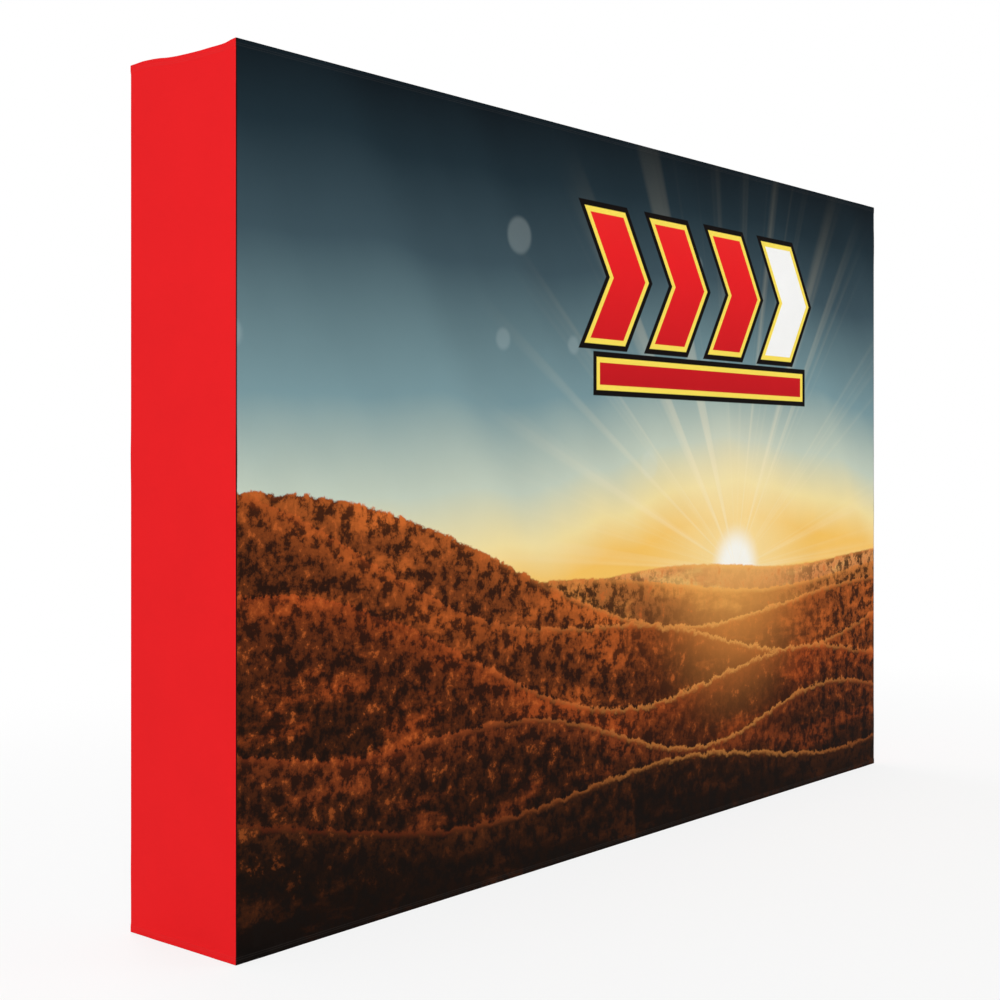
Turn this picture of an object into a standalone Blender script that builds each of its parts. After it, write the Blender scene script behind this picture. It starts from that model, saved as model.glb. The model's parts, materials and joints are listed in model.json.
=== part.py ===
"""Pop-up fabric display: a folding scissor lattice of three quads by two, wearing one printed stretch
fabric that covers the front and wraps both ends.

X runs along the width, Y from the printed front to the open back and Z up. The origin is on the floor,
under the middle of the display. Every lattice point has a front hub and a rear hub. A crossed pair of
tubes joins each two neighbouring points: each tube runs from a front hub to the rear hub next to it, and
a rivet joins the pair at its middle. Each moving piece hangs on an empty at its pin, and the empties
hang on each other, so turning all of them by the same angle folds the whole lattice to a bundle.
"""
import math

import bmesh
import bpy
import numpy as np
from mathutils import Matrix, Vector

MM = 0.001

# The lattice
QUAD_COLUMNS = 3
QUAD_ROWS = 2
QUAD_SIZE = 736 * MM
PIN_PLANE_DEPTH = 254 * MM
RUNNING_GAP = 0.3 * MM
CUT_OVERRUN = 2 * MM

# The moulded hub, and the pins across its four slots
HUB_WIDTH = 66 * MM
HUB_CORNER_RADIUS = 14 * MM
HUB_PLATE_THICKNESS = 5 * MM
HUB_BLOCK_WIDTH = 58 * MM
HUB_BLOCK_CHAMFER = 9 * MM
HUB_FACE_TO_PIN = 15 * MM
HUB_PIN_TO_INNER_FACE = 11 * MM
PIN_FROM_CENTRE = 21 * MM
PIN_RADIUS = 2 * MM
PIN_SEAT = 2 * MM
SLOT_TO_CENTRE = 14.5 * MM
PLATE_LAP = 1 * MM

# The half posts that meet inside the display, and whose magnets lock it open
POST_RADIUS = 6 * MM

# The crossed tubes, with a moulded tongue at each end
TUBE_RADIUS = 6 * MM
TUBE_WALL = 1 * MM
TONGUE_THICKNESS = 6 * MM
TONGUE_SIDE_CLEARANCE = 0.5 * MM
EYE_RADIUS = 4.6 * MM
EYE_HOLE_RADIUS = 2.7 * MM
TONGUE_LENGTH = 20 * MM
PLUG_LENGTH = 9 * MM
TONGUE_LAP = 2 * MM
TUBE_SPREAD = 11.4 * MM

# The rivet that joins a crossed pair
RIVET_RADIUS = 1.6 * MM
RIVET_HOLE_RADIUS = 2.2 * MM
RIVET_HEAD_RADIUS = 3.6 * MM
RIVET_HEAD_THICKNESS = 1.6 * MM

# The printed stretch fabric
FABRIC_THICKNESS = 1 * MM
FABRIC_FLOOR_GAP = 1 * MM
FABRIC_TOP_OVER_HUB = 2 * MM
REAR_RETURN = 60 * MM
END_SAG = 6 * MM

# Sides of round shapes
TUBE_SIDES = 8
BORE_SIDES = 6
PIN_SIDES = 6
POST_SIDES = 6
CORNER_STEPS = 2
EYE_STEPS = 4
FABRIC_CORNER_STEPS = 2

# The end's top edge: places from the rear to the front, and how far it sags there
END_EDGE_SHARES = (
    (0.06, -0.17),
    (0.13, -0.3),
    (0.21, -0.2),
    (0.28, 0),
    (0.36, 0.5),
    (0.45, 0.78),
    (0.56, 0.92),
    (0.68, 1),
    (0.78, 0.87),
    (0.86, 0.85),
    (0.91, 0.75),
    (0.96, 0.15),
)

TUBE_REACH = QUAD_SIZE - 2 * PIN_FROM_CENTRE
TUBE_PIN_TO_PIN = math.hypot(TUBE_REACH, PIN_PLANE_DEPTH)
HALF_SPREAD = TUBE_SPREAD / 2
TUBE_FLAT = TUBE_RADIUS * math.cos(math.pi / TUBE_SIDES)
SLOT_WIDTH = TONGUE_THICKNESS + 2 * TONGUE_SIDE_CLEARANCE
COLUMN_LETTERS = "abcdefgh"[: QUAD_COLUMNS + 1]
FRONT, REAR = "front", "rear"


def clear_scene():
    for obj in list(bpy.data.objects):
        bpy.data.objects.remove(obj)


def make_material(name, colour, roughness, metallic):
    material = bpy.data.materials.new(name)
    material.use_nodes = True
    surface = material.node_tree.nodes["Principled BSDF"]
    surface.inputs["Base Color"].default_value = (*colour, 1)
    surface.inputs["Roughness"].default_value = roughness
    surface.inputs["Metallic"].default_value = metallic
    return material


def mesh_object(name, shape):
    """A bmesh as a linked object, with its faces turned outwards."""
    bmesh.ops.recalc_face_normals(shape, faces=shape.faces)
    mesh = bpy.data.meshes.new(name)
    shape.to_mesh(mesh)
    shape.free()
    obj = bpy.data.objects.new(name, mesh)
    bpy.context.scene.collection.objects.link(obj)
    return obj


def extruded(name, outline, low, high, axes):
    """A flat outline pushed from low to high. axes names the outline's two axes, then the push: 'xzy'."""
    places = ["xyz".index(axis) for axis in axes]
    shape = bmesh.new()
    corners = []
    for first, second in outline:
        point = [0, 0, 0]
        point[places[0]], point[places[1]], point[places[2]] = first, second, low
        corners.append(shape.verts.new(point))
    face = shape.faces.new(corners)
    pushed = bmesh.ops.extrude_face_region(shape, geom=[face])
    push = [0, 0, 0]
    push[places[2]] = high - low
    moved = [item for item in pushed["geom"] if isinstance(item, bmesh.types.BMVert)]
    bmesh.ops.translate(shape, verts=moved, vec=push)
    return mesh_object(name, shape)


def rod(name, radius, low, high, sides, axis, centre=(0, 0, 0)):
    """A round bar along one axis, from low to high on it, with a flat side down."""
    turns = [(step + 0.5) * math.tau / sides for step in range(sides)]
    circle = [(radius * math.sin(turn), radius * math.cos(turn)) for turn in turns]
    axes = {"x": "yzx", "y": "xzy", "z": "xyz"}[axis]
    obj = extruded(name, circle, low, high, axes)
    obj.data.transform(Matrix.Translation(centre))
    return obj


def rounded_square(width, radius, steps):
    """The outline of a square with round corners, centred on zero."""
    inset = width / 2 - radius
    outline = []
    for quarter in range(4):
        start = quarter * math.pi / 2
        middle = start + math.pi / 4
        centre_x = inset * math.copysign(1, math.cos(middle))
        centre_z = inset * math.copysign(1, math.sin(middle))
        for step in range(steps + 1):
            turn = start + step / steps * math.pi / 2
            outline.append((centre_x + radius * math.cos(turn), centre_z + radius * math.sin(turn)))
    return outline


def combine(name, base, joined, cut):
    """One mesh from a base with shapes joined on, then others cut away. The helpers are removed."""
    groups = []
    for operation, helpers in (("UNION", joined), ("DIFFERENCE", cut)):
        if not helpers:
            continue
        group = bpy.data.collections.new(name + "_" + operation.lower())
        for helper in helpers:
            group.objects.link(helper)
        modifier = base.modifiers.new(operation.lower(), "BOOLEAN")
        modifier.operation = operation
        modifier.operand_type = "COLLECTION"
        modifier.collection = group
        modifier.solver = "EXACT"
        groups.append(group)
    bpy.context.view_layer.update()
    graph = bpy.context.evaluated_depsgraph_get()
    mesh = bpy.data.meshes.new_from_object(base.evaluated_get(graph), depsgraph=graph)
    mesh.name = name
    for helper in [base, *joined, *cut]:
        bpy.data.objects.remove(helper)
    for group in groups:
        bpy.data.collections.remove(group)
    return mesh


def block_outline():
    """The slotted block seen from the front: a square with cut corners and one handed slot in each side."""
    reach = HUB_BLOCK_WIDTH / 2
    chamfer = reach - HUB_BLOCK_CHAMFER
    slot_low = HALF_SPREAD - SLOT_WIDTH / 2
    slot_high = HALF_SPREAD + SLOT_WIDTH / 2
    right_side = [
        (reach, -chamfer),
        (reach, slot_low),
        (SLOT_TO_CENTRE, slot_low),
        (SLOT_TO_CENTRE, slot_high),
        (reach, slot_high),
        (reach, chamfer),
    ]
    outline = list(right_side)
    for _ in range(3):
        right_side = [(-up, across) for across, up in right_side]
        outline += right_side
    return outline


def hub_mesh():
    """A square plate with a slotted block, a pin across each slot and a half post inside."""
    plate_outline = rounded_square(HUB_WIDTH, HUB_CORNER_RADIUS, CORNER_STEPS)
    plate_back = HUB_PLATE_THICKNESS - HUB_FACE_TO_PIN
    plate = extruded("plate", plate_outline, -HUB_FACE_TO_PIN, plate_back, "xzy")
    block = extruded("block", block_outline(), plate_back - PLATE_LAP, HUB_PIN_TO_INNER_FACE, "xzy")
    post_end = PIN_PLANE_DEPTH / 2 - RUNNING_GAP / 2
    post = rod("post", POST_RADIUS, HUB_PIN_TO_INNER_FACE - PLATE_LAP, post_end, POST_SIDES, "y")
    joined = [block, post]
    pin_low = HALF_SPREAD - SLOT_WIDTH / 2 - PIN_SEAT
    pin_high = HALF_SPREAD + SLOT_WIDTH / 2 + PIN_SEAT
    for quarter in range(4):
        pin = rod("pin", PIN_RADIUS, pin_low, pin_high, PIN_SIDES, "z", (PIN_FROM_CENTRE, 0, 0))
        pin.data.transform(Matrix.Rotation(-quarter * math.pi / 2, 4, "Y"))
        joined.append(pin)
    return combine("hub", plate, joined, [])


def tongue(pin_place, facing):
    """The flat moulded tongue with a round eye. facing is 1 where the tube lies towards +x of the pin."""
    turns = [math.pi / 2 + step / EYE_STEPS * math.pi for step in range(EYE_STEPS + 1)]
    outline = [(EYE_RADIUS * math.cos(turn), EYE_RADIUS * math.sin(turn)) for turn in turns]
    end = TONGUE_LENGTH + TONGUE_LAP
    outline += [(end, -EYE_RADIUS), (end, EYE_RADIUS)]
    outline = [(pin_place + facing * along, across) for along, across in outline]
    return extruded("tongue", outline, -TONGUE_THICKNESS / 2, TONGUE_THICKNESS / 2, "xyz")


def tube_mesh(name, holds_rivet):
    """A drawn tube with a tongue in each end. Its mate lies towards -z, TUBE_SPREAD away."""
    barrel = rod("barrel", TUBE_RADIUS, TONGUE_LENGTH, TUBE_PIN_TO_PIN - TONGUE_LENGTH, TUBE_SIDES, "x")
    joined = []
    cut = []
    for pin_place, facing in ((0, 1), (TUBE_PIN_TO_PIN, -1)):
        joined.append(tongue(pin_place, facing))
        centre = (pin_place, 0, 0)
        eye_reach = TONGUE_THICKNESS / 2 + CUT_OVERRUN
        cut.append(rod("eye_hole", EYE_HOLE_RADIUS, -eye_reach, eye_reach, PIN_SIDES, "z", centre))
    plug_end = TONGUE_LENGTH + PLUG_LENGTH
    cut.append(rod("bore", TUBE_RADIUS - TUBE_WALL, plug_end, TUBE_PIN_TO_PIN - plug_end, BORE_SIDES, "x"))
    wall_reach = TUBE_RADIUS + CUT_OVERRUN
    centre = (TUBE_PIN_TO_PIN / 2, 0, 0)
    if not holds_rivet:
        cut.append(rod("rivet_hole", RIVET_HOLE_RADIUS, -wall_reach, wall_reach, PIN_SIDES, "z", centre))
        return combine(name, barrel, joined, cut)
    # The rivet is cut free of the wall that faces the mate, and stays fixed in the far one.
    cut.append(rod("rivet_hole", RIVET_HOLE_RADIUS, -wall_reach, 0, PIN_SIDES, "z", centre))
    drilled = bpy.data.objects.new(name, combine(name, barrel, joined, cut))
    bpy.context.scene.collection.objects.link(drilled)
    head_base = TUBE_FLAT - TUBE_WALL / 2
    tail_base = -TUBE_SPREAD - TUBE_FLAT - RUNNING_GAP
    tail_end = tail_base - RIVET_HEAD_THICKNESS
    shank_top = head_base + TUBE_WALL / 4
    shank_bottom = tail_base - RIVET_HEAD_THICKNESS / 2
    head_top = TUBE_FLAT + RIVET_HEAD_THICKNESS
    rivet = [
        rod("shank", RIVET_RADIUS, shank_bottom, shank_top, PIN_SIDES, "z", centre),
        rod("head", RIVET_HEAD_RADIUS, head_base, head_top, PIN_SIDES, "z", centre),
        rod("tail", RIVET_HEAD_RADIUS, tail_end, tail_base, PIN_SIDES, "z", centre),
    ]
    return combine(name, drilled, rivet, [])


def hub_name(column, row, side):
    return f"{side}_hub_{COLUMN_LETTERS[column]}{row + 1}"


def hub_place(column, row, side):
    """The middle of a hub on its pin plane."""
    across = (column - QUAD_COLUMNS / 2) * QUAD_SIZE
    depth = PIN_PLANE_DEPTH / 2 * (-1 if side == FRONT else 1)
    return Vector((across, depth, HUB_WIDTH / 2 + row * QUAD_SIZE))


def tube_list():
    """Every tube as its name, kind, first hub, last hub and the side of its pair that it lies on."""
    tubes = []
    steps = [
        (1, 0, FRONT, REAR, Vector((0, 0, 1)), True),
        (1, 0, REAR, FRONT, Vector((0, 0, -1)), False),
        (0, 1, FRONT, REAR, Vector((-1, 0, 0)), True),
        (0, 1, REAR, FRONT, Vector((1, 0, 0)), False),
    ]
    for column in range(QUAD_COLUMNS + 1):
        for row in range(QUAD_ROWS + 1):
            for right, up, start, end, outward, holds_rivet in steps:
                if column + right > QUAD_COLUMNS or row + up > QUAD_ROWS:
                    continue
                first = (column, row, start)
                last = (column + right, row + up, end)
                name = f"tube_{COLUMN_LETTERS[column]}{row + 1}_{start}"
                name += f"_to_{COLUMN_LETTERS[column + right]}{row + up + 1}_{end}"
                tubes.append((name, first, last, outward, holds_rivet))
    return tubes


def tube_frame(first, last, outward):
    """Where a tube lies: x from its first pin to its last, and z away from its mate."""
    lattice = Vector((last[0] - first[0], 0, last[1] - first[1]))
    start = hub_place(*first) + lattice * PIN_FROM_CENTRE + outward * HALF_SPREAD
    end = hub_place(*last) - lattice * PIN_FROM_CENTRE + outward * HALF_SPREAD
    along = (end - start).normalized()
    side = outward.cross(along)
    turned = Matrix((along, side, outward)).transposed().to_4x4()
    return start, end, Matrix.Translation(start) @ turned


def fold_tree(tubes, root_hub):
    """Each moving piece with its parent, its pin's place, the axis it turns on and its share of the fold.

    The walk starts at the root hub. Hubs with the other parity only meet these at the rivets, so the
    first tube's mate hangs on it at the rivet, and turns twice as far.
    """
    ends = {}
    axes = {}
    for name, first, last, outward, _ in tubes:
        start, end, _ = tube_frame(first, last, outward)
        ends[name] = ((hub_name(*first), start), (hub_name(*last), end))
        depth_rises = 1 if first[2] == FRONT else -1
        lattice = Vector((last[0] - first[0], 0, last[1] - first[1]))
        axes[name] = lattice.cross(Vector((0, 1, 0))) * depth_rises
    joints = []
    placed = {root_hub}
    waiting = [root_hub]
    first_tube = None
    while waiting:
        piece = waiting.pop(0)
        for name in ends:
            for hub, pin in ends[name]:
                if hub == piece and name not in placed:
                    joints.append((name, piece, pin, axes[name], 1))
                    placed.add(name)
                    waiting.append(name)
                    first_tube = first_tube or name
                if name == piece and hub not in placed:
                    joints.append((hub, piece, pin, -axes[name], 1))
                    placed.add(hub)
                    waiting.append(hub)
        if not waiting and len(placed) < len(tubes) + (QUAD_COLUMNS + 1) * (QUAD_ROWS + 1) * 2:
            points = {name: (first[:2], last[:2]) for name, first, last, _, _ in tubes}
            pair = [name for name in points if points[name] == points[first_tube]]
            mate = next(name for name in pair if name != first_tube)
            middle = (ends[first_tube][0][1] + ends[first_tube][1][1]) / 2
            joints.append((mate, first_tube, middle, axes[mate], 2))
            placed.add(mate)
            waiting.append(mate)
    return joints


def pivot_empty(name, place):
    pivot = bpy.data.objects.new(name, None)
    pivot.empty_display_size = HUB_WIDTH / 2
    pivot.location = place
    bpy.context.scene.collection.objects.link(pivot)
    return pivot


def hang(child, parent, child_place, parent_place):
    """Parents an object, given where both are in the world."""
    child.parent = parent
    child.location = child_place - parent_place


def fabric_path():
    """The fabric's middle line seen from above, from one rear edge round the front to the other.

    Each point is x, y, the outward direction and how much of the end's sag its top edge takes.
    """
    bend = RUNNING_GAP + FABRIC_THICKNESS / 2
    half_width = (QUAD_COLUMNS * QUAD_SIZE + HUB_WIDTH) / 2 + bend
    half_depth = PIN_PLANE_DEPTH / 2 + HUB_FACE_TO_PIN + bend
    left = [(-half_width + bend + REAR_RETURN, half_depth, 0, 1, 0)]
    for step in range(FABRIC_CORNER_STEPS + 1):
        turn = math.pi / 2 * (1 + step / FABRIC_CORNER_STEPS)
        out_x, out_y = math.cos(turn), math.sin(turn)
        left.append((-half_width + bend + bend * out_x, half_depth - bend + bend * out_y, out_x, out_y, 0))
    straight = half_depth * 2 - bend * 2
    for share, drop_share in END_EDGE_SHARES:
        left.append((-half_width, half_depth - bend - straight * share, -1, 0, drop_share))
    for step in range(FABRIC_CORNER_STEPS + 1):
        turn = math.pi * (1 + step / FABRIC_CORNER_STEPS / 2)
        out_x, out_y = math.cos(turn), math.sin(turn)
        left.append((-half_width + bend + bend * out_x, -half_depth + bend + bend * out_y, out_x, out_y, 0))
    front = []
    front_width = (half_width - bend) * 2
    for step in range(1, QUAD_COLUMNS):
        front.append((-front_width / 2 + front_width * step / QUAD_COLUMNS, -half_depth, 0, -1, 0))
    right = [(-x, y, -out_x, out_y, drop_share) for x, y, out_x, out_y, drop_share in reversed(left)]
    return left + front + right


def fabric_mesh():
    """The printed stretch fabric as one closed sheet, swept along its path."""
    path = fabric_path()
    bottom = FABRIC_FLOOR_GAP
    top = QUAD_ROWS * QUAD_SIZE + HUB_WIDTH + FABRIC_TOP_OVER_HUB
    shape = bmesh.new()
    rings = []
    for x, y, out_x, out_y, drop_share in path:
        edge = top - drop_share * END_SAG
        ring = []
        for side, height in ((1, bottom), (1, edge), (-1, edge), (-1, bottom)):
            reach = side * FABRIC_THICKNESS / 2
            ring.append(shape.verts.new((x + out_x * reach, y + out_y * reach, height)))
        rings.append(ring)
    for ring, following in zip(rings, rings[1:]):
        for corner in range(4):
            beside = (corner + 1) % 4
            shape.faces.new((ring[corner], ring[beside], following[beside], following[corner]))
    shape.faces.new(rings[0])
    shape.faces.new(rings[-1])
    return mesh_object("fabric_graphic", shape)


def build():
    clear_scene()
    black_plastic = make_material("black_moulded_plastic", (0.03, 0.03, 0.035), 0.5, 0)
    aluminium = make_material("anodised_aluminium", (0.72, 0.73, 0.75), 0.35, 1)
    fabric = make_material("printed_stretch_fabric", (0.84, 0.02, 0.02), 0.85, 0)

    hub = hub_mesh()
    rivet_tube = tube_mesh("rivet_tube", True)
    plain_tube = tube_mesh("plain_tube", False)
    for mesh in (hub, rivet_tube, plain_tube):
        mesh.materials.clear()
        mesh.materials.append(black_plastic if mesh is hub else aluminium)
        mesh.shade_smooth()
        mesh.set_sharp_from_angle(angle=math.radians(40))

    skin = fabric_mesh()
    skin.data.materials.append(fabric)

    tubes = tube_list()
    root_hub = hub_name(1, 0, FRONT)
    joints = fold_tree(tubes, root_hub)
    pivots = {}
    places = {}
    places[root_hub] = hub_place(1, 0, FRONT)
    pivots[root_hub] = pivot_empty("stand", places[root_hub])
    for name, parent, pin, _, _ in joints:
        pivots[name] = pivot_empty("pivot_" + name, pin)
        places[name] = pin
        hang(pivots[name], pivots[parent], pin, places[parent])
    for column in range(QUAD_COLUMNS + 1):
        for row in range(QUAD_ROWS + 1):
            for side in (FRONT, REAR):
                name = hub_name(column, row, side)
                obj = bpy.data.objects.new(name, hub)
                bpy.context.scene.collection.objects.link(obj)
                hang(obj, pivots[name], hub_place(column, row, side), places[name])
                obj.rotation_euler.z = 0 if side == FRONT else math.pi
    for name, first, last, outward, holds_rivet in tubes:
        obj = bpy.data.objects.new(name, rivet_tube if holds_rivet else plain_tube)
        bpy.context.scene.collection.objects.link(obj)
        start, _, frame = tube_frame(first, last, outward)
        hang(obj, pivots[name], start, places[name])
        obj.rotation_euler = frame.to_euler()
    return joints


build()
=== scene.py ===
"""The looks of a pop-up fabric display: the printed fabric, the moulded hubs and the crossed tubes."""
import itertools
import json
import math

import bmesh
import bpy
import numpy as np
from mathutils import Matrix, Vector
from mathutils.geometry import tessellate_polygon

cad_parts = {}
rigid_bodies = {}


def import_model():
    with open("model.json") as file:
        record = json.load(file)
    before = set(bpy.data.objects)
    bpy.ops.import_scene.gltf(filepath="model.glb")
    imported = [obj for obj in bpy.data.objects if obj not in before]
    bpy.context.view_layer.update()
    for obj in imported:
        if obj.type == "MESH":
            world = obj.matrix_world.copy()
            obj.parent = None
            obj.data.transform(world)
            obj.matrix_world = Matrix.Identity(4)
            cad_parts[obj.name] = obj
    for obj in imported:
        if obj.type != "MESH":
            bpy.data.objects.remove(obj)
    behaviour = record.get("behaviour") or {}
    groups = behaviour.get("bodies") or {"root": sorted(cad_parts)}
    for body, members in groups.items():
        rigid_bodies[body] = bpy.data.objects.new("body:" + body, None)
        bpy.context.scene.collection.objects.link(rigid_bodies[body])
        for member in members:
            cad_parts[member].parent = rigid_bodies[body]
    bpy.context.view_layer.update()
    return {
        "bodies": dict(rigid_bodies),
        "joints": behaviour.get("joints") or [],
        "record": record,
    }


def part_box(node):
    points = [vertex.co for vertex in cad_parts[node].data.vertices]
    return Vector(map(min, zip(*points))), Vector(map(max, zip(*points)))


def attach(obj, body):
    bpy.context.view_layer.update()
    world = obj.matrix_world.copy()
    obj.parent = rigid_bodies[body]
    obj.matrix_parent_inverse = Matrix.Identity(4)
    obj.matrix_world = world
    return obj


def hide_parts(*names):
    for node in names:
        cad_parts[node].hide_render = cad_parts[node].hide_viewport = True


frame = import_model()


# The studio: a white floor, a white surround and wide soft lamps, with the camera at the front left of
# the display, level, a little above the middle of its height.
CAMERA_PLACE = (-2.828, -2.152, 0.8367)
CAMERA_TURN = -49.67
CAMERA_LENS = 56.2
CAMERA_SHIFT = -0.0385
WHITE = (1, 1, 1, 1)
SURROUND_LIGHT = 0.55
# Each lamp: where it stands, where it aims, how wide it is and its power
LAMPS = {
    "key_lamp": ((-4.6, -3.0, 3.0), (-0.5, 0, 0.8), 3.0, 114),
    "fill_lamp": ((3.0, -4.2, 2.4), (0.4, 0, 0.7), 3.0, 56),
    "back_lamp": ((1.0, 4.2, 3.2), (0, 0, 0.7), 3.0, 90),
}

camera = bpy.data.objects.new("camera", bpy.data.cameras.new("camera"))
camera.data.lens = CAMERA_LENS
camera.data.shift_y = CAMERA_SHIFT
camera.location = CAMERA_PLACE
camera.rotation_euler = (math.pi / 2, 0, math.radians(CAMERA_TURN))
bpy.context.scene.collection.objects.link(camera)
bpy.context.scene.camera = camera
bpy.context.scene.view_settings.view_transform = "Standard"

for name, (place, target, width, power) in LAMPS.items():
    lamp = bpy.data.objects.new(name, bpy.data.lights.new(name, "AREA"))
    lamp.data.shape = "DISK"
    lamp.data.size = width
    lamp.data.energy = power
    lamp.location = place
    aim = np.subtract(target, place)
    tilt = math.pi / 2 + math.atan2(aim[2], math.hypot(aim[0], aim[1]))
    lamp.rotation_euler = (tilt, 0, math.atan2(-aim[0], aim[1]))
    bpy.context.scene.collection.objects.link(lamp)


def add_node(tree, kind, inputs=(), **settings):
    """A node with its settings, and its inputs given by name or number as values or as other outputs."""
    node = tree.nodes.new(kind)
    for key, value in settings.items():
        setattr(node, key, value)
    for key, value in dict(inputs).items():
        if isinstance(value, bpy.types.NodeSocket):
            tree.links.new(value, node.inputs[key])
        else:
            node.inputs[key].default_value = value
    return node


def maths(tree, operation, *values):
    """The output of one Math node."""
    return add_node(tree, "ShaderNodeMath", enumerate(values), operation=operation).outputs[0]


def seen_ray(tree):
    """1 where the camera looks, straight, in a gloss or through glass, and 0 for the light on things."""
    rays = add_node(tree, "ShaderNodeLightPath")
    seen = maths(tree, "MAXIMUM", rays.outputs["Is Camera Ray"], rays.outputs["Is Glossy Ray"])
    return maths(tree, "MAXIMUM", seen, rays.outputs["Is Transmission Ray"])


world = bpy.data.worlds.new("surround")
world.use_nodes = True
bpy.context.scene.world = world
sky = world.node_tree
sky.nodes.clear()
dim = add_node(sky, "ShaderNodeBackground", {"Color": WHITE, "Strength": SURROUND_LIGHT})
bright = add_node(sky, "ShaderNodeBackground", {"Color": WHITE, "Strength": 1})
mixed = add_node(sky, "ShaderNodeMixShader", {0: seen_ray(sky), 1: dim.outputs[0], 2: bright.outputs[0]})
add_node(sky, "ShaderNodeOutputWorld", {"Surface": mixed.outputs[0]})

# The floor shows its soft shadow near the display, and melts into the white surround further out.
FLOOR_REACH = 14
FLOOR_LINES = 15
FLOOR_WHITE = (0.9, 0.9, 0.9, 1)
MELT_START = 1.4
MELT_END = 3.4
MELT_SHARE = 0.8


def grid_faces(rows, columns, wrap_rows=False, wrap_columns=False):
    """The quads of a grid of points, numbered row by row. A wrapped way joins its last line to its first."""
    row = np.arange(rows if wrap_rows else rows - 1)[:, None]
    column = np.arange(columns if wrap_columns else columns - 1)[None, :]
    row_next = (row + 1) % rows
    column_next = (column + 1) % columns
    corners = [row * columns + column, row * columns + column_next]
    corners += [row_next * columns + column_next, row_next * columns + column]
    return np.stack([np.broadcast_to(corner, corners[2].shape) for corner in corners], -1).reshape(-1, 4)


def make_piece(name, points, faces, materials, smooth_angle):
    """A linked object at the origin from points and faces, with its faces turned outwards."""
    mesh = bpy.data.meshes.new(name)
    mesh.from_pydata(np.asarray(points).reshape(-1, 3).tolist(), [], [list(face) for face in faces])
    shape = bmesh.new()
    shape.from_mesh(mesh)
    bmesh.ops.recalc_face_normals(shape, faces=shape.faces)
    shape.to_mesh(mesh)
    shape.free()
    mesh.shade_smooth()
    mesh.set_sharp_from_angle(angle=math.radians(smooth_angle))
    for material in materials:
        mesh.materials.append(material)
    piece = bpy.data.objects.new(name, mesh)
    bpy.context.scene.collection.objects.link(piece)
    return piece


def keep_on_points(piece, name, vectors):
    """Stores a vector for each point of a piece, for its material to read."""
    values = np.asarray(vectors, np.float32).ravel()
    piece.data.attributes.new(name, "FLOAT_VECTOR", "POINT").data.foreach_set("vector", values)


def surface_of(name, values):
    """A new material with its node tree and its surface shader, whose sockets take the values."""
    material = bpy.data.materials.new(name)
    material.use_nodes = True
    surface = material.node_tree.nodes["Principled BSDF"]
    for socket, value in values.items():
        surface.inputs[socket].default_value = value
    return material, material.node_tree, surface


def frame_place(tree):
    """Where a point lies in the frame, in metres."""
    return add_node(tree, "ShaderNodeTexCoord").outputs["Object"]


def step_between(tree, value, low, high):
    """A share that rises smoothly from 0 at low to 1 at high."""
    inputs = {0: value, 1: low, 2: high, 3: 0.0, 4: 1.0}
    return add_node(tree, "ShaderNodeMapRange", inputs, interpolation_type="SMOOTHSTEP").outputs[0]


floor_line = np.linspace(-FLOOR_REACH, FLOOR_REACH, FLOOR_LINES)
floor_x, floor_y = np.meshgrid(floor_line, floor_line)
floor_points = np.stack([floor_x, floor_y, np.zeros_like(floor_x)], -1)
floor_values = {"Base Color": FLOOR_WHITE, "Roughness": 0.9, "Specular IOR Level": 0.1}
floor_paint, tree, surface = surface_of("white_floor", floor_values)
far = add_node(tree, "ShaderNodeVectorMath", {0: frame_place(tree)}, operation="LENGTH").outputs["Value"]
further = step_between(tree, far, MELT_START, MELT_END)
melted = maths(tree, "MULTIPLY_ADD", further, 1 - MELT_SHARE, MELT_SHARE)
melted = maths(tree, "MULTIPLY", melted, seen_ray(tree))
plain_white = add_node(tree, "ShaderNodeEmission", {"Color": WHITE, "Strength": 1})
melting = add_node(tree, "ShaderNodeMixShader", {0: melted, 1: surface.outputs[0], 2: plain_white.outputs[0]})
tree.links.new(melting.outputs[0], tree.nodes["Material Output"].inputs["Surface"])
floor = make_piece("floor", floor_points, grid_faces(FLOOR_LINES, FLOOR_LINES), [floor_paint], 40)


# The printed stretch fabric: one polyester knit, dyed on its face and left pale behind. It is pulled
# round both ends of the frame and pressed on to the hubs with touch tape. Its edges are turned and sewn.
QUAD = 0.736
HUB = 0.066
COLUMNS = 3
ROWS = 2
TOP_OVER_HUB = 0.002
CORNER_BEND = 0.0013
RETURN_WIDTH = 0.06
FRONT_LINES, END_LINES, RETURN_LINES, CORNER_LINES = 96, 25, 7, 5
CLOTH_STEP = 0.012
HEM_ROWS = np.array([0, 0.0004, 0.0012, 0.004, 0.008, 0.0105, 0.012, 0.0135, 0.0145, 0.017, 0.022])
FIRST_PLAIN_ROW = 0.03
HEM_WIDTH = 0.014
HEM_RISE = 0.0007
HEM_SLOPE = 0.0012
HEM_FOLD = 0.0008
SEAM_PLACE = 0.012
SEAM_WIDTH = 0.0009
SEAM_DEPTH = 0.0002
PULL_RISE = 0.0007
PULL_REACH = 0.075
PULL_FOLDS = 9
FRONT_PULL = 0.4
END_PULL = 1
END_SAG = 0.006
SAG_SMOOTHING = 12
SAG_FADE = 6
END_PLACE_SHARES = (0, 0.06, 0.13, 0.21, 0.28, 0.36, 0.45, 0.56, 0.68, 0.78, 0.86, 0.91, 0.96, 1)
END_SAG_SHARES = (0, -0.17, -0.3, -0.2, 0, 0.5, 0.78, 0.92, 1, 0.87, 0.85, 0.75, 0.15, 0)

cloth_low, cloth_high = (np.array(corner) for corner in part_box("fabric_graphic"))
half_width = cloth_high[0]
half_depth = cloth_high[1]
cloth_bottom = cloth_low[2]
cloth_height = ROWS * QUAD + HUB + TOP_OVER_HUB - cloth_bottom


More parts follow.
